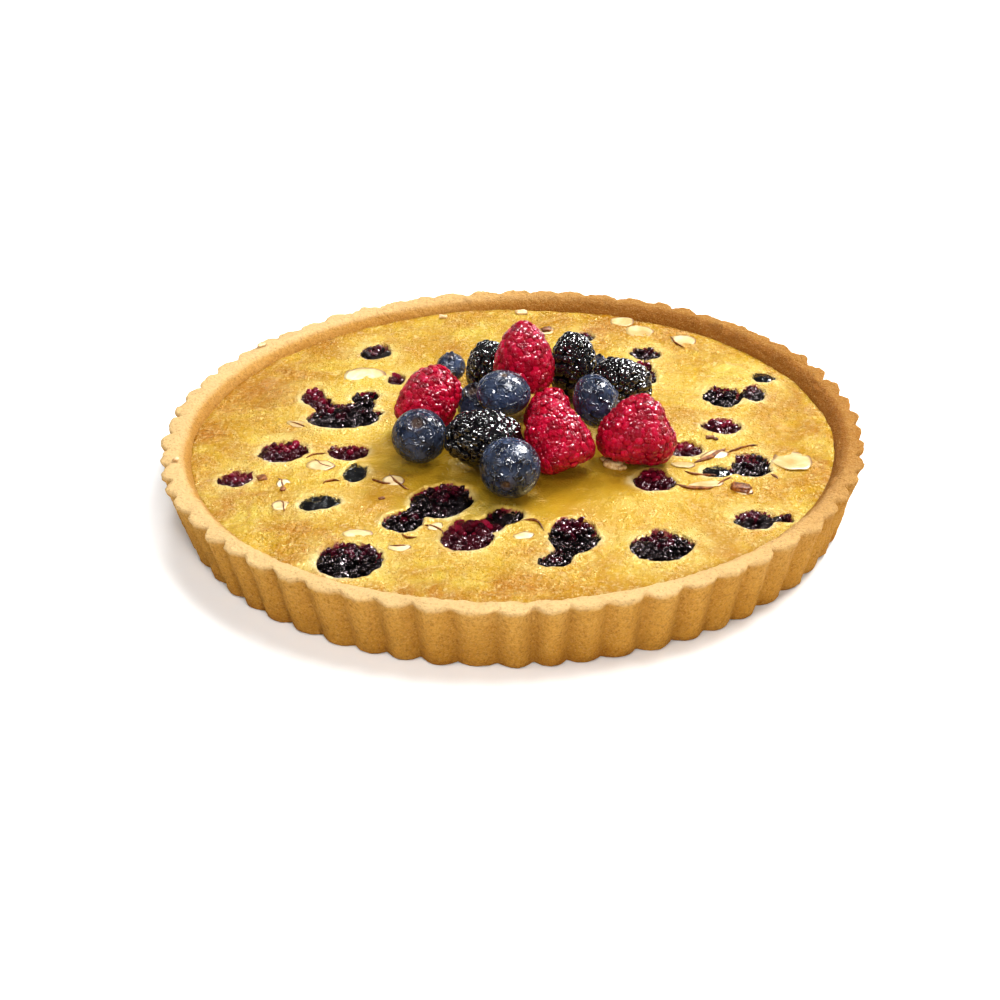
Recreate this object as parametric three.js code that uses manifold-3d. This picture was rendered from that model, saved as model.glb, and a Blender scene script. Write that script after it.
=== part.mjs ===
// Baked fruit tart, 230 mm across: a fluted shortcrust case filled with baked custard. Berries and
// almond flakes were baked into the custard, and a pile of fresh berries lies on the middle.
// Millimetres, +Z up. The origin is the centre of the foot. The front of the tart faces -Y.
import * as THREE from "three";
import { mergeVertices } from "three/addons/utils/BufferGeometryUtils.js";
import Module from "manifold-3d";

const wasm = await Module();
wasm.setup();

// Driving sizes of the case
const RIM_RADIUS = 115; // to the crests of the flutes, at the top
const FOOT_RADIUS = 108.6; // to the crests of the flutes, at the foot
const CASE_HEIGHT = 23.2;
const FLUTES = 62;
const FLUTE_DEPTH = 3.2;
const FLUTE_ROUNDNESS = 0.85; // under 1 broadens the lobe and narrows the valley
const FIRST_VALLEY = THREE.MathUtils.degToRad(266.5);
const SPANS_PER_FLUTE = 6;
const FLOOR_THICKNESS = 5;
const CUP_FLOOR_RADIUS = 103.4;
const CUP_LEVEL_RADIUS = 105.2;
const CUP_RIM_RADIUS = 107.4;
const CUP_SIDES = FLUTES;
const TOP_ROUNDING = 1.1;
const RIM_UNEVENNESS = 0.3;

// Driving sizes of the filling
const FIT_GAP = 0.3; // left between pieces that lie against each other
const FILLING_EDGE_LEVEL = 19.3;
const FILLING_CROWN = 0.95; // rise of the middle over the edge
const FILLING_UNEVENNESS = 0.3;
const FILLING_RINGS = [101, 90, 76, 60, 42, 22];
const SOCKET_DEPTH = 6.5;
const FLAKE_THICKNESS = 0.8;
const FLAKE_SIDES = 7;

// Kinds of berry: how pointed the tip and the stalk end are, how much fuller the stalk end is, the
// height of the drupelets, and the number of sides and rings of the solid.
const RASPBERRY = { tipped: 0.8, stalked: 0.45, fuller: 0.12, drupelet: 0.32, sides: 18, rings: 9, colour: 0xa81632 };
const BRAMBLE = { tipped: 0.8, stalked: 0.65, fuller: 0.06, drupelet: 0.38, sides: 14, rings: 8, colour: 0x1d1820 };
const BLUEBERRY = { tipped: 1, stalked: 1, fuller: 0, drupelet: 0, sides: 14, rings: 7, colour: 0x3c4763 };
const CALYX_RADIUS = 2.9;
const CALYX_DEPTH = 0.7;

// The pile of fresh berries: centre, greatest radius, length along the axis, and the way that the
// tip or calyx points.
const FRESH = [
  { name: "raspberry_top", kind: RASPBERRY, at: [4.5, 15, 41.4], radius: 9.6, length: 23.2, tip: [-0.02, 0.1, 1] },
  { name: "raspberry_left", kind: RASPBERRY, at: [-26.6, 1.6, 33.4], radius: 9.5, length: 21.5, tip: [0.4, 0.28, 0.87] },
  { name: "raspberry_front", kind: RASPBERRY, at: [14.1, -25.6, 33.4], radius: 9.8, length: 23, tip: [-0.35, 0.47, 0.8] },
  { name: "raspberry_right", kind: RASPBERRY, at: [39.8, -20.8, 32.5], radius: 10.9, length: 21, tip: [0.15, 0.2, 1], stretch: 1.13 },
  { name: "raspberry_back", kind: RASPBERRY, at: [12.5, -1.9, 29.7], radius: 7.5, length: 15, tip: [0.3, 0.4, 0.9] },
  { name: "bramble_front", kind: BRAMBLE, at: [-8.8, -25.5, 31.3], radius: 9.6, length: 24, tip: [-0.95, -0.1, 0.25] },
  { name: "bramble_right", kind: BRAMBLE, at: [37.1, 16.6, 30], radius: 8.2, length: 20, tip: [0.95, 0.1, -0.25] },
  { name: "bramble_back", kind: BRAMBLE, at: [21.1, 26.7, 32.3], radius: 7.8, length: 22, tip: [0, 0.15, 1] },
  { name: "bramble_left", kind: BRAMBLE, at: [-7.2, 28.9, 30.6], radius: 7.8, length: 18.6, tip: [0.15, 0.2, 1] },
  { name: "blueberry_front", kind: BLUEBERRY, at: [-0.8, -44, 31], radius: 9.5, length: 18.6, tip: [0.35, -0.9, -0.25] },
  { name: "blueberry_front_left", kind: BLUEBERRY, at: [-29.5, -18.7, 29.7], radius: 8.9, length: 17.2, tip: [-0.05, -0.15, 1] },
  { name: "blueberry_top", kind: BLUEBERRY, at: [-2.5, -4, 37.2], radius: 8.9, length: 13.8, tip: [0.05, -0.1, 1] },
  { name: "blueberry_middle", kind: BLUEBERRY, at: [-10.9, 6.7, 28.1], radius: 7.3, length: 14, tip: [-0.3, -0.4, 1] },
  { name: "blueberry_right", kind: BLUEBERRY, at: [27, -5.4, 34.4], radius: 8.9, length: 13.8, tip: [0.9, 0.35, 0.1] },
  { name: "blueberry_back_left", kind: BLUEBERRY, at: [-20.6, 40.3, 26], radius: 5.1, length: 9.8, tip: [0, -0.2, 1] },
  { name: "blueberry_back_right", kind: BLUEBERRY, at: [30.1, 35.8, 25.9], radius: 5, length: 9.6, tip: [0, 0, 1] },
];

// Berries baked into the filling: centre, width along X and depth along Y of the hole that each fills.
const BAKED = [
  { name: "baked_bramble_1", kind: BRAMBLE, at: [-48.6, 67.8], size: [10.6, 12.7] },
  { name: "baked_bramble_2", kind: BRAMBLE, at: [-56.4, 15.4], size: [25.2, 18.2] },
  { name: "baked_bramble_3", kind: BRAMBLE, at: [-49.8, 30.4], size: [10.4, 9.4] },
  { name: "baked_bramble_4", kind: BRAMBLE, at: [-21.9, -43.6], size: [19.5, 21] },
  { name: "baked_bramble_5", kind: BRAMBLE, at: [-33.7, -56.3], size: [12.2, 13] },
  { name: "baked_bramble_6", kind: BRAMBLE, at: [-2.5, -53.5], size: [11, 11.5] },
  { name: "baked_bramble_7", kind: BRAMBLE, at: [-48.8, -78.6], size: [19.5, 19] },
  { name: "baked_bramble_8", kind: BRAMBLE, at: [18, -66.1], size: [15.4, 19.8] },
  { name: "baked_bramble_9", kind: BRAMBLE, at: [12, -80.4], size: [9.8, 8.6] },
  { name: "baked_bramble_10", kind: BRAMBLE, at: [43.9, -73.3], size: [18.7, 18.6] },
  { name: "baked_bramble_11", kind: BRAMBLE, at: [72.7, -58.7], size: [12.6, 12.7] },
  { name: "baked_bramble_12", kind: BRAMBLE, at: [83, -57.4], size: [5, 7] },
  { name: "baked_bramble_13", kind: BRAMBLE, at: [76.1, -23.2], size: [12.6, 16.7] },
  { name: "baked_bramble_14", kind: BRAMBLE, at: [71.8, 25.5], size: [12.4, 17] },
  { name: "baked_bramble_15", kind: BRAMBLE, at: [82.6, 28], size: [7.6, 13] },
  { name: "baked_bramble_16", kind: BRAMBLE, at: [47.9, 62.4], size: [10.2, 12.4] },
  { name: "baked_bramble_17", kind: BRAMBLE, at: [48.4, 41.7], size: [4.4, 11.4] },
  { name: "baked_bramble_18", kind: BRAMBLE, at: [27, 77.5], size: [6.4, 8.8] },
  { name: "baked_raspberry_1", kind: RASPBERRY, at: [-68.2, 31.6], size: [8.3, 13.2] },
  { name: "baked_raspberry_2", kind: RASPBERRY, at: [-74.5, -8.8], size: [15.5, 16.4] },
  { name: "baked_raspberry_3", kind: RASPBERRY, at: [-53.3, -10.2], size: [13.7, 11.6] },
  { name: "baked_raspberry_4", kind: RASPBERRY, at: [-88.4, -26.6], size: [11.4, 10.6] },
  { name: "baked_raspberry_5", kind: RASPBERRY, at: [-14, -65.5], size: [15.5, 18.5] },
  { name: "baked_raspberry_6", kind: RASPBERRY, at: [44.3, -33.6], size: [14.7, 14.8] },
  { name: "baked_raspberry_7", kind: RASPBERRY, at: [56, -12.7], size: [11.8, 10.4] },
  { name: "baked_raspberry_8", kind: RASPBERRY, at: [69.2, 3.3], size: [13.4, 11.2] },
  { name: "baked_raspberry_9", kind: RASPBERRY, at: [46.8, 51.4], size: [5, 6.6] },
  { name: "baked_raspberry_10", kind: RASPBERRY, at: [-39.8, 44.6], size: [6.4, 10.2] },
  { name: "baked_blueberry_1", kind: BLUEBERRY, at: [-50.1, -24.2], size: [8.1, 12.6] },
  { name: "baked_blueberry_2", kind: BLUEBERRY, at: [-60.1, -43.8], size: [12.8, 10.1] },
  { name: "baked_blueberry_3", kind: BLUEBERRY, at: [64.3, -27.2], size: [8.8, 8.2] },
  { name: "baked_blueberry_4", kind: BLUEBERRY, at: [87.6, 41], size: [7.4, 9.4] },
];
const SMALL_BERRY = 9; // a narrower baked berry takes fewer sides
const BAKED_SIDES = 12;
const SMALL_BAKED_SIDES = 8;
const BAKED_HEIGHT = 5.6;
const BAKED_TOP_UNDER_LEVEL = 0.3; // how far the top of a baked berry lies under the filling

// Almond flakes: centre, length, width, turn in degrees, and tilt in degrees about the long side
const FLAKES = [
  { at: [41.5, 91], size: [8.6, 7.4], turn: 10, tilt: 3 },
  { at: [47.2, 82], size: [10.5, 8.6], turn: -25, tilt: 4 },
  { at: [62.7, 73], size: [8.8, 7.2], turn: -10, tilt: 5 },
  { at: [-51, 47.5], size: [15, 9.4], turn: 4, tilt: 9 },
  { at: [-37.8, -30], size: [7.2, 5.4], turn: -20, tilt: 4 },
  { at: [-61.5, -19.8], size: [9.2, 6], turn: -12, tilt: 5 },
  { at: [-72.4, -44.2], size: [6, 5.4], turn: 60, tilt: 5 },
  { at: [-72.2, -31.4], size: [5, 4], turn: 40, tilt: 12 },
  { at: [89.4, -21], size: [11, 13], turn: 15, tilt: -4 },
  { at: [60.6, -35.4], size: [11.5, 5], turn: 8, tilt: -8 },
  { at: [65, -17], size: [9.5, 4.2], turn: 20, tilt: 10 },
  { at: [54.2, -23], size: [8.4, 4], turn: -6, tilt: -7 },
  { at: [71.4, -40.6], size: [6.2, 4.4], turn: -30, tilt: 6 },
  { at: [-23.6, -59.6], size: [4, 3.2], turn: 35, tilt: 6 },
  { at: [-34, -71.6], size: [7, 3.4], turn: 5, tilt: 3 },
  { at: [-47, -63.6], size: [9.4, 4.6], turn: -4, tilt: 6 },
  { at: [13.3, 82.1], size: [6, 5.2], turn: 20, tilt: 5 },
  { at: [-71.4, 10.6], size: [7.6, 3.6], turn: -14, tilt: 4 },
  { at: [3, -66.4], size: [5.6, 3.6], turn: 14, tilt: 5 },
];

const CRUST_COLOUR = 0xd2a05f;
const FILLING_COLOUR = 0xe6b95c;
const CRUST_ROUGHNESS = 0.8;
const FILLING_ROUGHNESS = 0.3;
const BERRY_ROUGHNESS = 0.25;

// A closed three.js geometry as a manifold solid. Only positions are kept, and the triangles that
// collapse where a lathe meets its axis are dropped.
function solidOf(geometry) {
  const bare = geometry.clone();
  bare.deleteAttribute("normal");
  bare.deleteAttribute("uv");
  const merged = mergeVertices(bare, 1e-4);
  const corners = merged.index.array;
  const kept = [];
  for (let i = 0; i < corners.length; i += 3) {
    const [a, b, c] = corners.slice(i, i + 3);
    if (a !== b && b !== c && c !== a) kept.push(a, b, c);
  }
  return new wasm.Manifold(
    new wasm.Mesh({
      numProp: 3,
      vertProperties: merged.attributes.position.array,
      triVerts: new Uint32Array(kept),
    }),
  );
}

function geometryOf(solid) {
  const mesh = solid.getMesh();
  const geometry = new THREE.BufferGeometry();
  geometry.setAttribute("position", new THREE.BufferAttribute(mesh.vertProperties, 3));
  geometry.setIndex(new THREE.BufferAttribute(mesh.triVerts, 1));
  geometry.computeVertexNormals();
  return geometry;
}

// A lathe about Z from (radius, height) pairs that run from the axis at the bottom round the
// outside to the axis at the top. Its first side starts at the angle given.
function turned(profile, sides, start = 0) {
  const points = profile.map(([radius, height]) => new THREE.Vector2(radius, height));
  const quarterTurn = Math.PI / 2;
  const geometry = new THREE.LatheGeometry(points, sides, start + quarterTurn, 2 * Math.PI);
  return geometry.rotateX(quarterTurn);
}

// Moves each vertex of a geometry to where the function puts it.
function reshape(geometry, move) {
  const position = geometry.attributes.position;
  const point = new THREE.Vector3();
  for (let i = 0; i < position.count; i += 1) {
    point.fromBufferAttribute(position, i);
    move(point, i);
    position.setXYZ(i, point.x, point.y, point.z);
  }
  return geometry;
}

function meshOf(name, geometry, colour, roughness) {
  const material = new THREE.MeshStandardMaterial({ color: colour, roughness, metalness: 0 });
  const mesh = new THREE.Mesh(geometry, material);
  mesh.name = name;
  return mesh;
}

// How far the wall lies in from the crests at an angle: nothing on a crest, all of it in a valley
function fluteInset(angle) {
  const lobe = Math.abs(Math.sin((FLUTES / 2) * (angle - FIRST_VALLEY)));
  return FLUTE_DEPTH * (1 - lobe ** FLUTE_ROUNDNESS);
}

// The rim was pressed by hand, so its height wanders a little round the case.
function rimSag(angle) {
  const waves = Math.cos(6 * angle + 1) + Math.cos(14 * angle) + Math.cos(22 * angle + 2);
  return (RIM_UNEVENNESS * (3 - waves)) / 6;
}

function fillingLevel(x, y) {
  const out = Math.hypot(x, y) / CUP_LEVEL_RADIUS;
  const ripple = Math.sin(x / 9 + 1) * Math.cos(y / 11) + Math.sin((x + y) / 16 + 2);
  return FILLING_EDGE_LEVEL + FILLING_CROWN * (1 - out * out) + (FILLING_UNEVENNESS * ripple) / 2;
}

// The inside of the case, cut down by a gap where the filling is made to fit it
function cupProfile(gap) {
  return [
    [0, FLOOR_THICKNESS + gap],
    [CUP_FLOOR_RADIUS - gap, FLOOR_THICKNESS + gap],
    [CUP_LEVEL_RADIUS - gap, FILLING_EDGE_LEVEL],
  ];
}

function makeCrust() {
  const blank = turned(
    [
      [0, 0],
      [FOOT_RADIUS, 0],
      [RIM_RADIUS, CASE_HEIGHT - TOP_ROUNDING],
      [RIM_RADIUS - TOP_ROUNDING, CASE_HEIGHT],
      [0, CASE_HEIGHT],
    ],
    FLUTES * SPANS_PER_FLUTE,
    FIRST_VALLEY,
  );
  const fluted = reshape(blank, (point) => {
    const radius = Math.hypot(point.x, point.y);
    if (radius < 1) return;
    const angle = Math.atan2(point.y, point.x);
    const shrink = 1 - fluteInset(angle) / radius;
    point.x *= shrink;
    point.y *= shrink;
    if (point.z > CASE_HEIGHT / 2) point.z -= rimSag(angle);
  });
  const clearance = 2;
  const cup = turned(
    [
      ...cupProfile(0),
      [CUP_RIM_RADIUS - 0.9, CASE_HEIGHT - 0.8],
      [CUP_RIM_RADIUS + 0.5, CASE_HEIGHT + clearance],
      [0, CASE_HEIGHT + clearance],
    ],
    CUP_SIDES,
  );
  return geometryOf(solidOf(fluted).subtract(solidOf(cup)));
}

// A prism with the outline of a baked berry's hole, from the bottom of the hole to above the filling
function socketOf(berry, sides) {
  const [width, depth] = berry.size;
  const level = fillingLevel(...berry.at);
  const height = SOCKET_DEPTH + 4;
  const prism = new THREE.CylinderGeometry(1, 1, height, sides);
  prism.rotateX(Math.PI / 2);
  prism.scale(width / 2, depth / 2, 1);
  prism.translate(berry.at[0], berry.at[1], level - SOCKET_DEPTH + height / 2);
  return solidOf(prism);
}

function flakeOf(flake) {
  const [length, width] = flake.size;
  const disc = new THREE.CylinderGeometry(0.5, 0.5, FLAKE_THICKNESS, FLAKE_SIDES);
  disc.rotateX(Math.PI / 2);
  disc.scale(length, width, 1);
  disc.rotateX(THREE.MathUtils.degToRad(flake.tilt));
  disc.rotateZ(THREE.MathUtils.degToRad(flake.turn));
  disc.translate(flake.at[0], flake.at[1], fillingLevel(...flake.at) + FLAKE_THICKNESS / 4);
  return solidOf(disc);
}

function sidesOf(berry) {
  return Math.min(...berry.size) < SMALL_BERRY ? SMALL_BAKED_SIDES : BAKED_SIDES;
}

function makeFilling() {
  const top = FILLING_RINGS.map((radius) => [radius, FILLING_EDGE_LEVEL]);
  const profile = [...cupProfile(FIT_GAP), ...top, [0, FILLING_EDGE_LEVEL]];
  const slab = reshape(turned(profile, CUP_SIDES), (point) => {
    if (point.z > CASE_HEIGHT / 2) point.z = fillingLevel(point.x, point.y);
  });
  let filling = solidOf(slab);
  for (const berry of BAKED) filling = filling.subtract(socketOf(berry, sidesOf(berry)));
  for (const flake of FLAKES) filling = filling.add(flakeOf(flake));
  return geometryOf(filling);
}

// Radius of a berry at a height from -1, the stalk end, to 1, the tip
function berryRadius(kind, height) {
  const point = height > 0 ? kind.tipped : kind.stalked;
  const egg = (1 - kind.fuller * height) / (1 + kind.fuller ** 2);
  return Math.sqrt(1 - height * height) ** point * egg;
}

// A berry about its axis, tip up. Drupelets stand out on every other vertex.
function makeBerry(berry) {
  const { kind, radius, length } = berry;
  const profile = [];
  for (let ring = 0; ring <= kind.rings; ring += 1) {
    const height = -Math.cos((Math.PI * ring) / kind.rings);
    const onAxis = ring === 0 || ring === kind.rings;
    profile.push([onAxis ? 0 : radius * berryRadius(kind, height), (height * length) / 2]);
  }
  if (kind === BLUEBERRY) {
    profile.pop();
    profile.push([CALYX_RADIUS, length / 2 - 0.2], [CALYX_RADIUS / 2, length / 2 - CALYX_DEPTH]);
    profile.push([0, length / 2 - CALYX_DEPTH]);
  }
  const stretch = berry.stretch ?? 1;
  const perSide = profile.length;
  const shape = reshape(turned(profile, kind.sides), (point, i) => {
    const around = Math.hypot(point.x, point.y);
    if (around < 0.01) return;
    const raised = (Math.floor(i / perSide) + (i % perSide)) % 2 ? 1 : -1;
    const grow = 1 + (raised * kind.drupelet) / around;
    point.x *= grow * stretch;
    point.y *= grow / stretch;
  });
  const mesh = meshOf(berry.name, geometryOf(solidOf(shape)), kind.colour, BERRY_ROUGHNESS);
  mesh.position.set(...berry.at);
  mesh.quaternion.copy(turnTo(new THREE.Vector3(...berry.tip)));
  return mesh;
}

// The rotation that points local +Z along the tip and keeps local +X as near to the tart's +X as it
// can be, or to its +Y where the tip itself lies along X.
function turnTo(tip) {
  const axis = tip.clone().normalize();
  const guide = Math.abs(axis.x) < 0.9 ? new THREE.Vector3(1, 0, 0) : new THREE.Vector3(0, 1, 0);
  const side = guide.addScaledVector(axis, -guide.dot(axis)).normalize();
  const other = new THREE.Vector3().crossVectors(axis, side);
  const basis = new THREE.Matrix4().makeBasis(side, other, axis);
  return new THREE.Quaternion().setFromRotationMatrix(basis);
}

// A collapsed berry in its hole: a lumpy dome, clear of the hole's side and floor
function makeBakedBerry(berry) {
  const [width, depth] = berry.size;
  const lump = berry.kind.drupelet * 0.6;
  const half = BAKED_HEIGHT / 2;
  const profile = [
    [0, -half],
    [0.8, -half * 0.8],
    [1, half * 0.1],
    [0.66, half * 0.8],
    [0, half],
  ];
  const perSide = profile.length;
  const shape = reshape(turned(profile, sidesOf(berry)), (point, i) => {
    const raised = (Math.floor(i / perSide) + (i % perSide)) % 2 ? lump : -lump;
    const onShoulder = point.z > half / 2 && Math.hypot(point.x, point.y) > 0.01;
    if (onShoulder) point.z += raised;
    point.x *= width / 2 - FIT_GAP;
    point.y *= depth / 2 - FIT_GAP;
  });
  const mesh = meshOf(berry.name, geometryOf(solidOf(shape)), berry.kind.colour, BERRY_ROUGHNESS);
  const level = fillingLevel(...berry.at) - BAKED_TOP_UNDER_LEVEL;
  mesh.position.set(berry.at[0], berry.at[1], level - half);
  return mesh;
}

const tart = new THREE.Group();
tart.add(meshOf("crust", makeCrust(), CRUST_COLOUR, CRUST_ROUGHNESS));
tart.add(meshOf("filling", makeFilling(), FILLING_COLOUR, FILLING_ROUGHNESS));

const bakedBerries = new THREE.Group();
for (const berry of BAKED) bakedBerries.add(makeBakedBerry(berry));
tart.add(bakedBerries);

const pile = new THREE.Group();
for (const berry of FRESH) pile.add(makeBerry(berry));
tart.add(pile);

export default tart;
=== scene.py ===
import math
import random

import bpy
import numpy as np
from mathutils import Matrix, Quaternion, Vector, noise


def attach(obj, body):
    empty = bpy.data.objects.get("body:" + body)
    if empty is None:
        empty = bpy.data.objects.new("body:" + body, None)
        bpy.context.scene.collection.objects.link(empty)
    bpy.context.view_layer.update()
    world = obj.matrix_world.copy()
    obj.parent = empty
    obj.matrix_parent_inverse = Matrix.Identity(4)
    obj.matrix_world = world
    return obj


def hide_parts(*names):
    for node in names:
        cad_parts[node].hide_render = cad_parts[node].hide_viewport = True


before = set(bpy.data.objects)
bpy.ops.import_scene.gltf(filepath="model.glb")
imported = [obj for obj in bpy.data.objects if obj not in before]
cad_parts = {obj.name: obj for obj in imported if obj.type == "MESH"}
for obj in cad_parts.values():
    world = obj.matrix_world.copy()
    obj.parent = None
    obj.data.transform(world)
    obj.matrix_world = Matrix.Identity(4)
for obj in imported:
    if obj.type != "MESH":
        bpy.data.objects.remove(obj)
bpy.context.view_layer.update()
bpy.ops.object.select_all(action="DESELECT")

MM = 0.001

# Where each row of random numbers starts
PILE_SEED = 11
FLUTE_SEED = 3
BAKED_SEED = 5
random.seed(PILE_SEED)

# Camera: place in millimetres, then how it is turned from looking level down its elevation
CAMERA_PLACE = (0, -574.72, 313.77)
CAMERA_ELEVATION = 26.82
CAMERA_YAW = 0.384
CAMERA_PITCH = -2.161
CAMERA_ROLL = 1.072
CAMERA_LENS = 70.6

# Lights: place in metres, width and power. The soft ones light what they fall on, and the mirrored
# ones show only as highlights on what is wet
SOFT_LIGHTS = [
    ((0.6, 0.5, 0.75), 0.5, 11),
    ((0.28, 0, 1), 0.4, 4.35),
    ((-0.15, 0.65, 1.0), 0.4, 3.2),
    ((-0.85, -0.35, 0.7), 0.25, 2),
    ((0.25, -1.1, 0.6), 0.4, 7.3),
    ((-0.1, -0.7, 1.0), 0.4, 3.6),
]
MIRRORED_LIGHTS = [
    ((0.55, 0.45, 0.75), 0.25, 27),
    ((0.28, 0, 1), 0.33, 42),
    ((-0.15, 0.65, 1.0), 0.2, 9),
    ((-0.5, -0.4, 0.9), 0.18, 10),
]
LIGHT_AIM = (0, 0, 0.02)
SKY_STRENGTH = 0.14

# The case
FLUTES = 62
FLUTE_DEPTH = 3.2
FLUTE_ROUNDNESS = 0.8
VALLEY_SOFTNESS = 0.015
FIRST_VALLEY = math.radians(266.5)
SIDES_PER_FLUTE = 14
CASE_HEIGHT = 23.2
RING_SPACING = 0.9
LONG_RUN = 30
LONG_RUN_STEPS = 4
# The way, in radians about Z, in which the case has baked browner
BROWNER_SIDE = 0.5
# Radius, height and share of the flute depth, from the middle of the underside round to the cup floor
CRUST_PROFILE = [
    (40, 0, 0),
    (96, 0, 0.3),
    (107.2, 0, 1),
    (108.3, 0.35, 1),
    (108.85, 1, 1),
    (114.2, 20.6, 1),
    (114.75, 21.4, 1),
    (114.95, 22.7, 1),
    (114.6, 23.15, 0.98),
    (113.2, 23.2, 0.9),
    (110.6, 23.2, 0.45),
    (108.6, 22.9, 0.1),
    (107.1, 22.2, 0),
    (106.2, 21.2, 0),
    (105.2, 20.1, 0),
    (104.7, 19.2, 0),
    (104.5, 18, 0),
    (103.4, 5, 0),
    (40, 5, 0),
]

# The filling
FILLING_GRID = 300
FILLING_RADIUS = 105
FILLING_FOOT_RADIUS = 103.1
FILLING_FLOOR = 5.3
LEVEL_RADIUS = 105.2
EDGE_LEVEL = 19.3
MIDDLE_RISE = 0.95
# From which radius to which the custard turns to its baked edge, and the groove by the case begins
BAKED_EDGE = (60, 97)
GROOVE = (102.8, 104.8)
GROOVE_DEPTH = 0.3
# The glaze that has pooled round the pile, darker in front of the pile where it is partly painted
# shade: centre, then half its width and half its depth
POOL = (3, -12, 50, 46)

# Where the custard has baked to a deeper amber: (x, y, half width, half depth)
AMBER = [
    (-86, 43, 15, 26),
    (-99, 6, 8, 26),
    (-88, -40, 14, 20),
    (-60, -66, 28, 17),
    (100, -2, 5, 40),
    (-24, -97, 30, 7),
    (36, 84, 34, 12),
    (56, -84, 22, 9),
    (-62, 82, 26, 10),
]

# Berries of drupelets: how pointed the tip and the stalk end are, and how much fuller the stalk end
# is. Drupelets: how far apart, their width and thickness, how far they stand out of the berry's
# line, how deep the core lies under it, and how much painted shade darkens the gaps between them
KINDS = {
    "raspberry": {
        "tipped": 0.95, "stalked": 0.35, "fuller": 0.2, "spacing": 1.9, "width": 0.72,
        "thickness": 0.66, "bulge": 0.2, "core_depth": 0.6, "gap_shade": 0.35,
    },
    "bramble": {
        "tipped": 0.8, "stalked": 0.65, "fuller": 0.06, "spacing": 3.0, "width": 0.64,
        "thickness": 0.8, "bulge": 0.35, "core_depth": 0.9, "gap_shade": 1,
    },
}
# Drupelet rows lie closer than the drupelets within a row, by this share
ROW_PITCH = 0.87

# Fresh berries: name, centre, greatest radius, length, and the way that the tip points
FRESH = {
    "raspberry": [
        ("top", (4.5, 15, 41.4), 9.6, 23.2, (-0.02, 0.1, 1)),
        ("left", (-26.6, 1.6, 33.4), 9.5, 21.5, (0.4, 0.28, 0.87)),
        ("front", (14.1, -25.6, 33.4), 9.8, 23, (-0.35, 0.47, 0.8)),
        ("right", (39.8, -20.8, 32.5), 10.9, 21, (0.15, 0.2, 1)),
        ("back", (12.5, -1.9, 29.7), 7.5, 15, (0.3, 0.4, 0.9)),
    ],
    "bramble": [
        ("front", (-8.8, -25.5, 31.3), 9.6, 24, (-0.95, -0.1, 0.25)),
        ("right", (37.1, 16.6, 30), 8.2, 20, (0.95, 0.1, -0.25)),
        ("back", (21.1, 26.7, 32.3), 7.8, 22, (0, 0.15, 1)),
        ("left", (-7.2, 28.9, 30.6), 7.8, 18.6, (0.15, 0.2, 1)),
    ],
    "blueberry": [
        ("front", (-0.8, -44, 31), 9.5, 18.6, (-0.13, -0.98, -0.12)),
        ("front_left", (-29.5, -18.7, 29.7), 8.9, 17.2, (-0.05, -0.55, 0.84)),
        ("top", (-2.5, -4, 37.2), 8.9, 13.8, (0.05, -0.1, 1)),
        ("middle", (-10.9, 6.7, 28.1), 7.3, 14, (-0.3, -0.4, 1)),
        ("right", (27, -5.4, 34.4), 8.9, 13.8, (0.9, 0.35, 0.1)),
        ("back_left", (-20.6, 40.3, 26), 5.1, 9.8, (0, -0.2, 1)),
        ("back_right", (30.1, 35.8, 25.9), 5, 9.6, (0, 0, 1)),
    ],
}
STRETCH = {"raspberry_right": 1.13}
SPACING = {"bramble_front": 3.3, "bramble_back": 2.9, "bramble_right": 2.55, "bramble_left": 2.7}

# The crown of a blueberry, and the small round scar that some have in its place: width as a share
# of the berry, height of the ring and of its lobes, depth of the middle, and how brown it is
CROWN = {"width": 0.3, "ring": 0.5, "lobes": 0.5, "middle": 0.8, "brown": 0.7}
SCAR = {"width": 0.17, "ring": 0.2, "lobes": 0, "middle": 0.5, "brown": 1}
SCARRED = ("blueberry_front", "blueberry_top")

# Dents in misshapen berries: angle about the axis in degrees, height from -1 to 1, and depth
DENTS = {
    "raspberry_right": [(-10, 0.35, 2.6), (-80, 0.4, 0.8), (170, 0.5, 1.6), (10, -0.35, -0.9)],
    "raspberry_front": [(-90, -0.2, 1.0), (10, 0.3, 1.0), (180, 0.1, -1.2)],
    "raspberry_top": [(-60, 0.5, 0.8), (30, -0.3, -0.5), (190, -0.3, -0.9)],
    "raspberry_left": [(0, 0.5, -2), (-40, -0.1, -0.8), (150, 0.5, -0.7)],
}

# Baked berries: centre of the hole, then its width along X and its depth along Y
BAKED_BRAMBLES = [
    (-48.6, 67.8, 10.6, 12.7),
    (-56.4, 15.4, 25.2, 18.2),
    (-49.8, 30.4, 10.4, 9.4),
    (-21.9, -43.6, 19.5, 21),
    (-33.7, -56.3, 12.2, 13),
    (-2.5, -53.5, 11, 11.5),
    (-48.8, -78.6, 19.5, 19),
    (18, -66.1, 15.4, 19.8),
    (12, -80.4, 9.8, 8.6),
    (43.9, -73.3, 18.7, 18.6),
    (72.7, -58.7, 12.6, 12.7),
    (83, -57.4, 5, 7),
    (76.1, -23.2, 12.6, 16.7),
    (71.8, 25.5, 12.4, 17),
    (82.6, 28, 7.6, 13),
    (47.9, 62.4, 10.2, 12.4),
    (48.4, 41.7, 4.4, 11.4),
    (27, 77.5, 6.4, 8.8),
]
BAKED_RASPBERRIES = [
    (-68.2, 31.6, 8.3, 13.2),
    (-74.5, -8.8, 15.5, 16.4),
    (-53.3, -10.2, 13.7, 11.6),
    (-88.4, -26.6, 11.4, 10.6),
    (-14, -65.5, 15.5, 18.5),
    (44.3, -33.6, 14.7, 14.8),
    (56, -12.7, 11.8, 10.4),
    (69.2, 3.3, 13.4, 11.2),
    (46.8, 51.4, 5, 6.6),
    (-39.8, 44.6, 6.4, 10.2),
]
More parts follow.
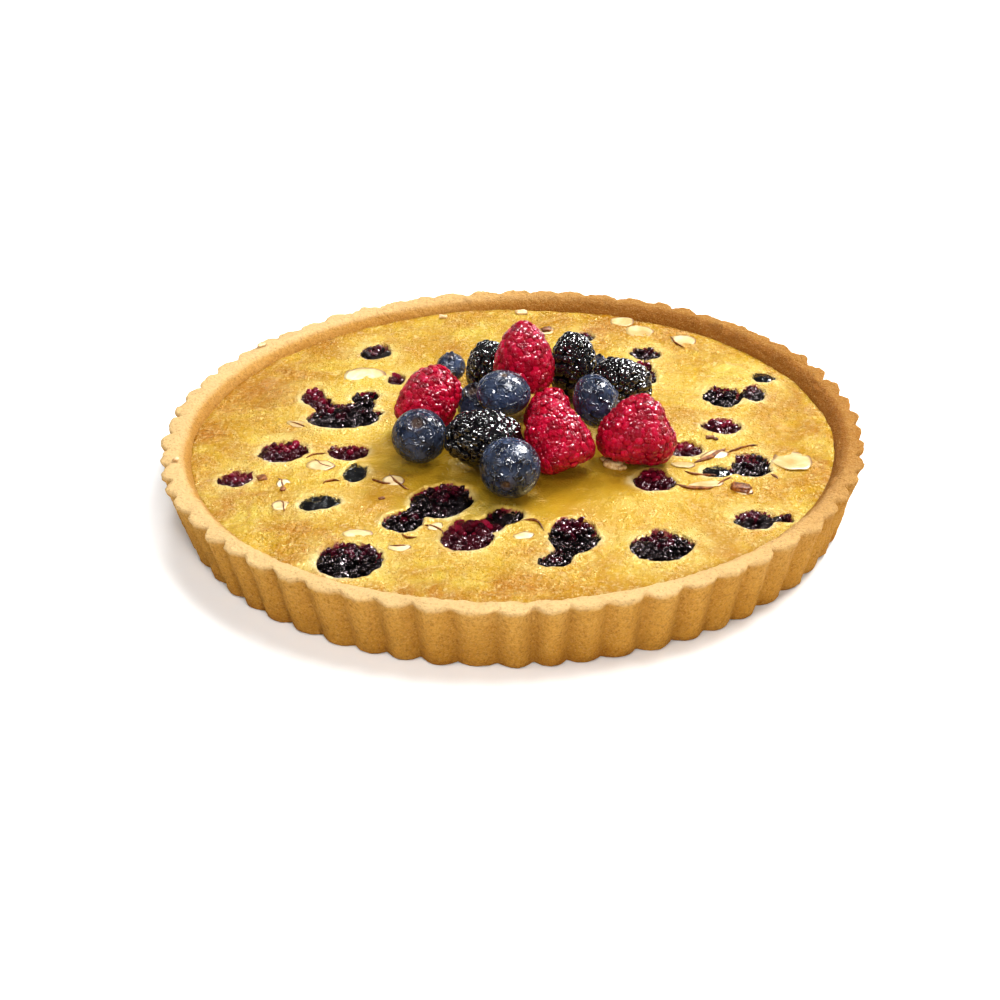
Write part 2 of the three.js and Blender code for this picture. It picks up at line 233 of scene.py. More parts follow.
BAKED_BLUEBERRIES = [
    (-50.1, -24.2, 8.1, 12.6),
    (-60.1, -43.8, 12.8, 10.1),
    (64.3, -27.2, 8.8, 8.2),
    (87.6, 41, 7.4, 9.4),
]
BAKED = {"bramble": BAKED_BRAMBLES, "raspberry": BAKED_RASPBERRIES, "blueberry": BAKED_BLUEBERRIES}
HOLES = [
    (kind, number, *hole)
    for kind, holes in BAKED.items()
    for number, hole in enumerate(holes, start=1)
]
# Narrow openings that run one hole into the next: the berry that fills each, its centre and size
ARMS = [
    ("raspberry", 1, -65, 26.5, 6, 9),
    ("raspberry", 1, -61, 22.5, 8, 7),
    ("bramble", 3, -50, 25, 8, 8),
    ("raspberry", 5, -7.5, -59.5, 9, 8),
    ("bramble", 9, 14.5, -75, 7, 6),
    ("bramble", 15, 77.5, 28, 5, 6),
    ("bramble", 12, 78.5, -58, 5, 4),
    ("bramble", 13, 69.5, -25.5, 6, 5),
    ("bramble", 5, -28.5, -50.5, 7, 6),
    ("bramble", 2, -57, 22, 15, 10),
]
HOLE_BLEND = 1.0
HOLE_DEPTH = 2.6
BAKED_SPACING = 2.4
# The dome of a collapsed berry: half its height, how far its middle lies under the custard's
# surface, how far its skin is drawn up over the drupelets, and how far it reaches past the hole
BAKED_HALF_HEIGHT = 2.2
BAKED_DEPTH = {"bramble": 4, "raspberry": 4, "blueberry": 1.6}
SKIN_RISE = {"bramble": 2.6, "raspberry": 2.6, "blueberry": 0}
BAKED_MARGIN = 0.6

# Almond flakes: centre, length, width, turn and tilt in degrees
FLAKES = [
    (41.5, 91, 8.6, 7.4, 10, 3),
    (47.2, 82, 10.5, 8.6, -25, 4),
    (62.7, 73, 8.8, 7.2, -10, 5),
    (-51, 47.5, 15, 9.4, 4, 9),
    (-37.8, -30, 7.2, 5.4, -20, 4),
    (-61.5, -19.8, 9.2, 6, -12, 5),
    (-72.4, -44.2, 6, 5.4, 60, 5),
    (-72.2, -31.4, 5, 4, 40, 12),
    (89.4, -21, 12.5, 14.5, 15, -3),
    (60.6, -35.4, 11.5, 5, 8, -8),
    (65, -17, 9.5, 4.2, 20, 10),
    (54.2, -23, 8.4, 4, -6, -7),
    (71.4, -40.6, 6.2, 4.4, -30, 6),
    (-23.6, -59.6, 4, 3.2, 35, 6),
    (-34, -71.6, 7, 3.4, 5, 3),
    (-47, -63.6, 9.4, 4.6, -4, 6),
    (13.3, 82.1, 6, 5.2, 20, 5),
    (-71.4, 10.6, 7.6, 3.6, -14, 4),
    (3, -66.4, 5.6, 3.6, 14, 5),
]
FLAKE_THICKNESS = 0.4
FLAKE_LIFT = 0.12

# Edges of almond skin: centre, length, thickness, turn in degrees, and how far the middle bends out
SLIVERS = [
    (-71.7, 10.3, 6.9, 0.45, -35, 0.3),
    (-63.2, -13.1, 7.2, 0.4, 20, 1.1),
    (-60.9, -18.1, 7.7, 0.45, -41, -1.1),
    (-35.8, -31.0, 11.7, 0.6, -55, -0.9),
    (-41.5, -30.3, 7.1, 0.5, -30, -1.0),
    (-34.4, -71.1, 4.9, 0.35, 5, 0.2),
    (-71.5, -45.1, 7.5, 0.35, -80, 0.7),
    (-57.2, -31.5, 5.5, 0.5, 19, 1.4),
    (-73.2, -31.3, 7.0, 0.5, -72, 0.5),
    (-24.2, -61.6, 8.4, 0.45, -38, 1.8),
    (-31.4, -64.7, 5.5, 0.4, -21, -1.1),
    (4.8, -61.4, 10.2, 0.6, -35, 3.7),
    (63.6, -17.4, 14.5, 1.6, 40, -0.6),
    (74.4, -12.9, 11.5, 0.45, 27, 0.8),
    (59.2, -28.8, 10.2, 0.5, -14, -1.1),
    (66.1, -35.2, 8.4, 0.45, 42, 0.8),
    (56.6, -37.0, 12.5, 1, -11, -1.8),
    (82.2, -32.3, 3.8, 0.5, -62, 0.1),
    (60.3, 71.1, 11.6, 0.4, -67, -0.9),
]
SLIVER_TALL = 0.8
SLIVER_LIFT = 0.25

# Toasted nut pieces and crumbs: centre, height of the centre over what carries it, size, turn
NUTS = [
    (70.9, -39.7, 0.5, 7.4, 5.4, 2.6, -25),
    (-79.5, -27.0, 0.2, 3.6, 4, 1.4, 20),
    (13.3, 82.3, 0.6, 4.2, 4, 2.2, 10),
    (-40.8, -41.6, 0.2, 2.6, 1.6, 1, 20),
    (64.6, -5.4, 0.3, 3.4, 1.8, 1.2, 5),
    (66.4, -6.6, 0.3, 2, 1.6, 1, 40),
    (-72.1, -35.2, 0.2, 2.2, 2.4, 1, 0),
]
CRUMBS = [
    (32.0, -23.9, 0.7, 7, 6, 2.4, -30),
    (29.9, -20.5, 0.6, 4, 3, 1.8, 20),
    (34.7, -26.4, 0.5, 3.4, 2.6, 1.6, 10),
    (4.3, 100.4, 0.6, 5.5, 3, 1.8, 5),
    (-24.8, 97.4, 0.5, 3.6, 2.4, 1.4, -10),
    (-89.0, 67.0, 0.4, 4, 2.6, 1.2, 40),
    (-107.5, -19.8, 0.3, 3, 2.2, 1, 80),
]


# Camera, lights and floor

def add_camera():
    elevation = math.radians(CAMERA_ELEVATION)
    ahead = Vector((0, math.cos(elevation), -math.sin(elevation)))
    right = Vector((1, 0, 0))
    up = right.cross(ahead)
    for turned, axis, degrees in (
        ((ahead, right), up, CAMERA_YAW),
        ((ahead, up), right, CAMERA_PITCH),
        ((right, up), ahead, CAMERA_ROLL),
    ):
        turn = Quaternion(axis.copy(), math.radians(degrees))
        for direction in turned:
            direction.rotate(turn)
    bpy.ops.object.camera_add()
    camera = bpy.context.object
    camera.data.lens = CAMERA_LENS
    camera.data.sensor_width = 36
    camera.data.clip_start = 0.01
    camera.matrix_world = Matrix((right, up, -ahead)).transposed().to_4x4()
    camera.location = Vector(CAMERA_PLACE) * MM
    bpy.context.scene.camera = camera


def add_light(place, size, power, mirrored):
    bpy.ops.object.light_add(type="AREA", location=place)
    light = bpy.context.object
    ahead = Vector(LIGHT_AIM) - Vector(place)
    light.rotation_euler = ahead.to_track_quat("-Z", "Y").to_euler()
    light.data.shape = "DISK"
    light.data.size = size
    light.data.energy = power
    light.visible_glossy = mirrored
    light.visible_diffuse = not mirrored


def add_studio():
    for row in SOFT_LIGHTS:
        add_light(*row, mirrored=False)
    for row in MIRRORED_LIGHTS:
        add_light(*row, mirrored=True)
    world = bpy.data.worlds.new("studio")
    world.use_nodes = True
    background = world.node_tree.nodes["Background"]
    background.inputs["Color"].default_value = (1, 1, 1, 1)
    background.inputs["Strength"].default_value = SKY_STRENGTH
    bpy.context.scene.world = world
    view = bpy.context.scene.view_settings
    view.view_transform = "Standard"
    view.look = "Medium High Contrast"


def add_floor():
    bpy.ops.mesh.primitive_plane_add(size=6)
    floor = bpy.context.object
    floor.name = "floor"
    pale, _, _ = new_material("floor", Roughness=0.6, Base_Color=(0.9, 0.9, 0.9, 1))
    floor.data.materials.append(pale)


# Nodes and materials

def colour(tone):
    """Linear red, green, blue and alpha of an sRGB colour written as six hexadecimal digits."""
    parts = [int(tone[i:i + 2], 16) / 255 for i in (0, 2, 4)]
    linear = [p / 12.92 if p <= 0.04045 else ((p + 0.055) / 1.055) ** 2.4 for p in parts]
    return (*linear, 1)


def new_material(name, **constants):
    """A new material, its node tree and the output that says where a point lies in the piece."""
    made = bpy.data.materials.new(name)
    made.use_nodes = True
    tree = made.node_tree
    for socket, value in constants.items():
        tree.nodes["Principled BSDF"].inputs[socket.replace("_", " ")].default_value = value
    return made, tree, tree.nodes.new("ShaderNodeTexCoord").outputs["Object"]


def node(tree, kind, inputs=None, **settings):
    """A new node: settings are its properties, and inputs are numbers or sockets to link."""
    made = tree.nodes.new(kind)
    for key, value in settings.items():
        setattr(made, key, value)
    for socket, value in (inputs or {}).items():
        if isinstance(value, bpy.types.NodeSocket):
            tree.links.new(value, made.inputs[socket])
        else:
            made.inputs[socket].default_value = value
    return made


def attribute(tree, name):
    return node(tree, "ShaderNodeAttribute", attribute_name=name).outputs["Fac"]


def ramp(tree, factor, *stops):
    made = node(tree, "ShaderNodeValToRGB", {"Fac": factor})
    elements = made.color_ramp.elements
    for element, (position, tone) in zip(elements, (stops[0], stops[-1])):
        element.position = position
        element.color = colour(tone)
    for position, tone in stops[1:-1]:
        elements.new(position).color = colour(tone)
    return made.outputs["Color"]


def mix(tree, factor, first, second):
    made = node(tree, "ShaderNodeMix", {0: factor}, data_type="RGBA")
    for index, value in ((6, first), (7, second)):
        if isinstance(value, str):
            made.inputs[index].default_value = colour(value)
        else:
            tree.links.new(value, made.inputs[index])
    return made.outputs[2]


def maths(tree, operation, *values):
    inputs = dict(enumerate(values))
    return node(tree, "ShaderNodeMath", inputs, operation=operation).outputs["Value"]


def times(tree, value, factor):
    return maths(tree, "MULTIPLY", value, factor)


def times_plus(tree, value, factor, more):
    return maths(tree, "MULTIPLY_ADD", value, factor, more)


def painted(tree, tone, *layers):
    """A tone under layers of others, each with where it lies, from 0 to 1, and its strength.
    Where it lies is an output, or the name of one of the mesh's attributes."""
    for over, where, strength in layers:
        if isinstance(where, str):
            where = attribute(tree, where)
        tone = mix(tree, times(tree, where, strength), tone, over)
    return tone


def between(tree, value, low, high, out_low=0, out_high=1):
    inputs = {"Value": value, "From Min": low, "From Max": high, "To Min": out_low, "To Max": out_high}
    return node(tree, "ShaderNodeMapRange", inputs).outputs["Result"]


def noise_value(tree, place, scale, detail=3, roughness=0.55, distortion=0):
    inputs = {"Vector": place, "Scale": scale, "Detail": detail}
    inputs |= {"Roughness": roughness, "Distortion": distortion}
    return node(tree, "ShaderNodeTexNoise", inputs).outputs["Fac"]


def dress(made, tone, height, distance, strength=1, roughness=None):
    """Gives a material its tone, its bumps in metres and, where it varies, its roughness."""
    tree = made.node_tree
    shader = tree.nodes["Principled BSDF"]
    tree.links.new(tone, shader.inputs["Base Color"])
    inputs = {"Height": height, "Distance": distance, "Strength": strength}
    bumped = node(tree, "ShaderNodeBump", inputs)
    tree.links.new(bumped.outputs["Normal"], shader.inputs["Normal"])
    if roughness is not None:
        tree.links.new(roughness, shader.inputs["Roughness"])
    return made


def new_group(name, numbers, outputs):
    """A group of nodes that takes a place and some numbers."""
    tree = bpy.data.node_groups.new(name, "ShaderNodeTree")
    tree.interface.new_socket("Place", in_out="INPUT", socket_type="NodeSocketVector")
    for in_out, sockets in (("INPUT", numbers), ("OUTPUT", outputs)):
        for socket in sockets:
            tree.interface.new_socket(socket, in_out=in_out, socket_type="NodeSocketFloat")
    entry = tree.nodes.new("NodeGroupInput")
    leave = tree.nodes.new("NodeGroupOutput")
    return tree, entry.outputs, leave.inputs


def patches_group():
    """Soft patches and small specks, for whatever is baked or ripened unevenly."""
    numbers = ["Patches per metre", "Specks per metre", "Speck share"]
    tree, given, out = new_group("uneven patches", numbers, ["Patches", "Specks"])
    broad = noise_value(tree, given["Place"], given["Patches per metre"], 4, 0.6, 0.4)
    tree.links.new(between(tree, broad, 0.32, 0.68), out["Patches"])
    fine = noise_value(tree, given["Place"], given["Specks per metre"], 2, 0.7)
    start = maths(tree, "SUBTRACT", 0.78, given["Speck share"])
    tree.links.new(between(tree, fine, start, 0.72), out["Specks"])
    return tree


def glaze_group():
    """The wavy skin of a brushed-on glaze: a height that breaks highlights into small squiggles."""
    tree, given, out = new_group("brushed glaze", ["Waves per metre"], ["Height", "Dry"])
    waves = noise_value(tree, given["Place"], given["Waves per metre"], 1, 0.5, 1.4)
    ridged = maths(tree, "ABSOLUTE", maths(tree, "SUBTRACT", waves, 0.5))
    tree.links.new(times_plus(tree, ridged, 0.9, waves), out["Height"])
    patch = noise_value(tree, given["Place"], times(tree, given["Waves per metre"], 0.25), 2)
    tree.links.new(between(tree, patch, 0.35, 0.7), out["Dry"])
    return tree


PATCHES = patches_group()
GLAZE = glaze_group()


def patches(tree, place, broad=60, fine=900, share=0.3):
    """Patches and specks at so many per metre, each from 0 to 1."""
    inputs = {"Place": place, "Patches per metre": broad}
    inputs |= {"Specks per metre": fine, "Speck share": share}
    made = node(tree, "ShaderNodeGroup", inputs, node_tree=PATCHES)
    return made.outputs["Patches"], made.outputs["Specks"]


def glaze(tree, place, waves):
    inputs = {"Place": place, "Waves per metre": waves}
    made = node(tree, "ShaderNodeGroup", inputs, node_tree=GLAZE)
    return made.outputs["Height"], made.outputs["Dry"]


def crust_material():
    made, tree, place = new_material("shortcrust", Roughness=0.8, Specular_IOR_Level=0.05)
    patch, specks = patches(tree, place, fine=1000)
    browned = attribute(tree, "browned")
    rising = times_plus(tree, patch, 0.3, times(tree, attribute(tree, "height"), 0.7))
    # Lighter up the case and darker at the foot; the lightest top edges are partly wear and partly
    # painted highlight
    baked = ramp(tree, rising, (0, "9a621c"), (0.25, "be8a3a"), (0.7, "ca984a"), (0.95, "d8aa60"))
    # Painted shade down the inner wall, deepest towards the custard and on the browner side
    soaking = times(tree, attribute(tree, "inside"), times_plus(tree, browned, 0.6, 0.35))
    fine = noise_value(tree, place, 1700, 4, 0.7)
    grain = noise_value(tree, place, 1050, 4, 0.7)
    tone = painted(
        tree,
        baked,
        ("8c561a", browned, 0.95),
        ("7c4c1e", specks, 0.55),
        # Pale rim top: partly flour dust, partly painted highlight
        ("e2c28e", "dusty", 0.8),
        # Painted shade in the flute valleys
        ("8c5a22", "valley", 0.3),
        ("8e5818", soaking, 1),
        ("e4bc78", between(tree, fine, 0.5, 0.75), 0.45),
        ("8a5824", between(tree, grain, 0.5, 0.72), 0.5),
    )
    coarse = noise_value(tree, place, 620, 3, 0.75)
    return dress(made, tone, times_plus(tree, fine, 0.5, coarse), 0.0014)


def filling_material():
    made, tree, place = new_material(
        "baked custard",
        Specular_Tint=(1, 0.82, 0.36, 1),
        IOR=1.48,
        Subsurface_Weight=0.06,
        Subsurface_Radius=(1.0, 0.6, 0.2),
        Subsurface_Scale=0.0015,
    )
    patch, specks = patches(tree, place, broad=38, fine=800, share=0.27)
    edge = attribute(tree, "edge")
    pool = attribute(tree, "pool")
    dry = maths(tree, "SUBTRACT", 1, pool)
    base = ramp(tree, patch, (0, "cbb048"), (0.5, "be9624"), (1, "a6700c"))
    bake_patch = noise_value(tree, place, 70, 5, 0.7, 0.6)
    baking = times(tree, times_plus(tree, edge, 0.7, 0.3), between(tree, bake_patch, 0.43, 0.6))
    uneven = between(tree, bake_patch, 0.35, 0.6, 0.15, 0.7)
    cream_patch = noise_value(tree, place, 110, 4, 0.65, 0.8)
    creaming = times(tree, between(tree, cream_patch, 0.4, 0.62), attribute(tree, "near"))
    frayed = noise_value(tree, place, 900, 2)
    bled = times_plus(tree, frayed, 0.5, attribute(tree, "bleed"))
    bitten = times_plus(tree, frayed, 0.5, attribute(tree, "stain"))
    juice = mix(tree, attribute(tree, "far_side"), "1a040a", "6c0a28")
    tone = painted(
        tree,
        base,
        ("a46c0c", times(tree, baking, dry), 0.75),
        ("9a5c04", times(tree, attribute(tree, "amber"), uneven), 1),
        ("dac070", times(tree, creaming, dry), 0.9),
        # Darker glaze in front of the pile: partly its own colour, partly painted shade from the pile
        ("9c7c26", pool, 0.7),
        # Pale specks: partly the custard's own flecks, partly painted highlight for the glaze's
        # sparkle
        ("eed898", times(tree, specks, dry), 0.5),
        # Pale hole rims: partly the custard's paler lip, partly painted highlight
        ("efe3b8", "pale_rim", 1),
        ("70102c", between(tree, bled, 0.6, 0.85), 0.9),
        (juice, between(tree, bitten, 0.58, 0.85), 1),
    )
    fine = noise_value(tree, place, 1400, 2, 0.6, 0.2)
    blisters = noise_value(tree, place, 420, 3, 0.65, 0.3)
    calm = maths(tree, "SUBTRACT", 1, times(tree, pool, 0.8))
    rough = times(tree, times_plus(tree, fine, 0.7, blisters), times_plus(tree, edge, 0.15, calm))
    polish = between(tree, cream_patch, 0.4, 0.62, 0.28, 0.09)
    return dress(made, tone, rough, 0.0015, roughness=polish)


def drupelet_material(name, tones, waves, wave_depth, **constants):
    """Skin of a berry made of drupelets: its tone runs with the tint that each drupelet carries."""
    made, tree, place = new_material(name, **constants)
    patch, _ = patches(tree, place, broad=120)
    tint = times_plus(tree, patch, 0.3, times(tree, attribute(tree, "tint"), 0.7))
    skin = ramp(tree, tint, *tones)
    # Painted shade at the base of each drupelet and on the core that shows between them
    deep = painted(tree, skin, (tones[0][1], "hollow", 0.2))
    height, dry = glaze(tree, place, waves)
    polish = between(tree, dry, 0, 1, 0.03, 0.1)
    return dress(made, deep, height, wave_depth, roughness=polish)


def blueberry_material():
    made, tree, place = new_material("blueberry skin", IOR=1.58)
    patch, specks = patches(tree, place, broad=150, fine=240, share=0.42)
    skin = ramp(tree, patch, (0, "06080f"), (0.5, "131b2e"), (1, "303d58"))
    tone = painted(tree, skin, ("606b84", specks, 0.36), ("5e4630", "crown", 1))
    height, dry = glaze(tree, place, 430)
    polish = between(tree, dry, 0, 1, 0.04, 0.3)
    return dress(made, tone, height, 0.0018, roughness=polish)


def almond_material():
    made, tree, place = new_material(
        "almond flake",
        Alpha=0.82,
        Coat_Weight=0.2,
        Coat_Roughness=0.1,
        Subsurface_Weight=0.15,
        Subsurface_Radius=(1.0, 0.8, 0.5),
        Subsurface_Scale=0.001,
        Roughness=0.4,
    )
    patch, _ = patches(tree, place, broad=170)
    flesh = ramp(tree, patch, (0, "bc9a50"), (0.5, "d2b478"), (1, "e2cfa2"))
    tone = painted(tree, flesh, ("7a4216", "skin", 1))
    return dress(made, tone, noise_value(tree, place, 800), 0.0003, 0.6)


def skin_material():
    made, tree, place = new_material("almond skin", Roughness=0.45, Specular_IOR_Level=0.15)
    patch, specks = patches(tree, place, broad=500, fine=1800)
    tone = ramp(tree, patch, (0, "3c1a06"), (0.6, "6e3610"), (1, "a0601f"))
    flecked = painted(tree, tone, ("c08a48", specks, 0.5))
    return dress(made, flecked, noise_value(tree, place, 1500), 0.0003, 0.8)


def crumb_material():
    made, tree, place = new_material("crumb", Roughness=0.7)
    patch, _ = patches(tree, place, broad=700)
    tone = ramp(tree, patch, (0, "b07c3c"), (1, "e8cc98"))
    return dress(made, tone, noise_value(tree, place, 2400), 0.0003, 0.8)


# Shaping

def start_edit(action):
    bpy.ops.object.mode_set(mode="EDIT")
    bpy.ops.mesh.select_mode(type="EDGE")
    bpy.ops.mesh.select_all(action=action)


def end_edit():
    """Leaves the edit with all faces of the closed body turned outwards."""
    bpy.ops.mesh.select_all(action="SELECT")
    bpy.ops.mesh.normals_make_consistent(inside=False)
    bpy.ops.object.mode_set(mode="OBJECT")


def points_of(piece):
    flat = np.empty(len(piece.data.vertices) * 3)
    piece.data.vertices.foreach_get("co", flat)
    return flat.reshape(-1, 3)


def set_points(piece, points):
    piece.data.vertices.foreach_set("co", np.asarray(points).ravel())
    piece.data.update()


def set_attributes(piece, **values):
    for name, value in values.items():
        made = piece.data.attributes.new(name, "FLOAT", "POINT")
        made.data.foreach_set("value", np.asarray(value, dtype=np.float32))


def smoothstep(low, high, value):
    t = np.clip((value - low) / (high - low), 0, 1)
    return t * t * (3 - 2 * t)


def noise_at(points, size, seed=0, octaves=1):
    """Noise from about -1 to 1 at each point, with features of the given size."""
    scaled = points / size + seed * 17.3
    if octaves == 1:
        return np.array([noise.noise(p) for p in scaled])
    return np.array([noise.fractal(p, 1, 2, octaves) for p in scaled])


def finish_piece(piece, name, material, slot, *nodes):
    """Puts the place into the mesh, smooths it, gives it its finish and lets it ride on the tart."""
    bpy.ops.object.select_all(action="DESELECT")
    piece.select_set(True)
    bpy.context.view_layer.objects.active = piece
    bpy.ops.object.transform_apply(location=True, rotation=True, scale=True)
    bpy.ops.object.shade_smooth()
    piece.name = name
    piece.data.name = name
    piece.data.materials.clear()
    piece.data.materials.append(material)
    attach(piece, "root")
    if nodes:
        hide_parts(*nodes)
    piece.select_set(False)


def with_rings(profile, spacing):
    """The profile with further points: no step is longer than the spacing, except on a long run."""
    rings = [profile[0]]
    for start, end in zip(profile, profile[1:]):
        length = math.hypot(end[0] - start[0], end[1] - start[1])
        steps = max(1, math.ceil(length / spacing)) if length < LONG_RUN else LONG_RUN_STEPS
        for step in range(1, steps + 1):
            share = step / steps
            rings.append(tuple(a + (b - a) * share for a, b in zip(start, end)))
    return rings


def flat_points(x, y):
    return np.stack([x, y, np.zeros_like(x)], axis=1)


# The case

def flute_inset(angle):
    """How far the outside draws in at an angle: no two flutes are pressed quite alike."""
    turns = FLUTES * (angle - FIRST_VALLEY) / (2 * math.pi)
    lobe = np.sqrt(np.sin(math.pi * turns) ** 2 + VALLEY_SOFTNESS) - math.sqrt(VALLEY_SOFTNESS)
    lobe = np.clip(lobe / (math.sqrt(1 + VALLEY_SOFTNESS) - math.sqrt(VALLEY_SOFTNESS)), 0, 1)
    pressed = np.random.default_rng(FLUTE_SEED).uniform(0, 0.55, FLUTES)
    number = np.floor(turns).astype(int) % FLUTES
    shallow = 1 - 0.22 * np.sin(angle * 9 + 1) ** 2
    return FLUTE_DEPTH * shallow * (1 - lobe ** FLUTE_ROUNDNESS) + pressed[number] * lobe


def rim_sag(angle):
    waves = np.cos(6 * angle + 1) + np.cos(14 * angle) + np.cos(22 * angle + 2)
    return 0.3 * (3 - waves) / 6


def make_crust():
    rings = with_rings(CRUST_PROFILE, RING_SPACING)
    sides = FLUTES * SIDES_PER_FLUTE
    radius, height, _ = rings[0]
    bpy.ops.mesh.primitive_circle_add(vertices=sides, radius=radius * MM, fill_type="NGON")
    case = bpy.context.object
    start_edit("SELECT")
    for next_radius, next_height, _ in rings[1:]:
        rise = (0, 0, (next_height - height) * MM)
        bpy.ops.mesh.extrude_edges_move(TRANSFORM_OT_translate={"value": rise})
        grow = next_radius / radius
        centre = (0, 0, next_height * MM)
        bpy.ops.transform.resize(value=(grow, grow, 1), center_override=centre)
        radius, height = next_radius, next_height
    bpy.ops.mesh.edge_face_add()
    end_edit()
    points = points_of(case) / MM
    ring = np.arange(len(points)) // sides
    share = np.array([r[2] for r in rings])[ring]
    angle = np.arctan2(points[:, 1], points[:, 0])
    reach = np.hypot(points[:, 0], points[:, 1])
    lobe_angle = angle + 0.007 * np.sin(5 * angle + 1) + 0.006 * np.sin(13 * angle)
    inset = flute_inset(lobe_angle) * share
    top = smoothstep(14, 22.8, points[:, 2])
    lip = smoothstep(20, 21.4, points[:, 2])
    wobble = noise_at(points, 14, 1) * 0.4 + noise_at(points, 5, 2) * 0.3
    crumb = noise_at(points, 1.7, 3, 2) * 0.26
    ragged = noise_at(points, 3.2, 14, 2) * 0.8 * lip
    outer = smoothstep(0.02, 0.5, share)
    bend = -inset + (wobble + crumb + ragged - 0.3) * outer
    points[:, :2] *= (1 + bend / reach)[:, None]
    upper = points[:, 2] > CASE_HEIGHT / 2
    uneven = noise_at(points, 6, 4) * 0.6 + noise_at(points, 2.1, 5, 2) * 0.4
    points[:, 2] += np.where(upper, uneven * top - rim_sag(angle), 0)
    points[:, 2] = np.minimum(points[:, 2], CASE_HEIGHT + 0.2)
    set_points(case, points * MM)
    inside = np.array([flute_share == 0 and level > 4 for _, level, flute_share in rings])[ring]
    towards = np.cos(angle - BROWNER_SIDE)
    brown = smoothstep(-0.15, 1, towards) * smoothstep(12, 22, points[:, 2])
    # Pale on the top of the rim, away from the browner side: partly flour dust, partly painted
    # highlight
    dust = smoothstep(21, 22.8, points[:, 2]) * smoothstep(0.85, -0.15, towards)
    set_attributes(
        case,
        height=points[:, 2] / CASE_HEIGHT,
        # Painted shade in the flute valleys
        valley=np.clip(inset / FLUTE_DEPTH, 0, 1) * (points[:, 2] < 22),
        browned=brown * (1 - 0.3 * outer),
        # Where the painted shade of the inner wall lies, deepest towards the custard
        inside=inside * smoothstep(23, 19.5, points[:, 2]),
        dusty=dust,
    )
    finish_piece(case, "fluted_case", crust_material(), "crust", "crust")


# The filling

def hole_field(x, y):
    """Millimetres to the nearest hole's edge, less than 0 inside; how far up its far side a point
    lies, from -1 to 1; and the number of the nearest hole. Holes that almost touch run together."""
    points = flat_points(x, y)
    lobed = noise_at(points, 5.5, 5) * 1.5 + noise_at(points, 2.4, 6) * 0.9
    frayed = noise_at(points, 1.3, 7) * 0.5
    distances = []
    uppers = []
    for _, _, centre_x, centre_y, width, depth in HOLES + ARMS:
        across = (x - centre_x) / (width / 2)
        along = (y - centre_y) / (depth / 2)
        around = np.maximum(np.hypot(across, along), 0.01)
        reach = np.hypot(x - centre_x, y - centre_y)
        distances.append(reach * (1 - 1 / around))
        uppers.append(along / around)
    distances = np.array(distances)
    nearest = distances.argmin(axis=0)
    upper = np.take_along_axis(np.array(uppers), nearest[None], axis=0)[0]
    joined = -HOLE_BLEND * np.log(np.exp(-np.minimum(distances, 60) / HOLE_BLEND).sum(axis=0))
    ragged = lobed * (0.75 + 0.35 * upper) + frayed * (0.6 + 0.6 * upper)
    return joined + ragged, upper, nearest


def custard_surface(x, y):
    """Height of the custard before the holes are sunk in it, with its swells but not its blisters."""
    out = np.hypot(x, y) / LEVEL_RADIUS
    ripple = np.sin(x / 9 + 1) * np.cos(y / 11) + np.sin((x + y) / 16 + 2)
    level = EDGE_LEVEL + MIDDLE_RISE * (1 - out * out) + 0.15 * ripple
    return level + noise_at(flat_points(x, y), 17, 8, 3) * 0.6


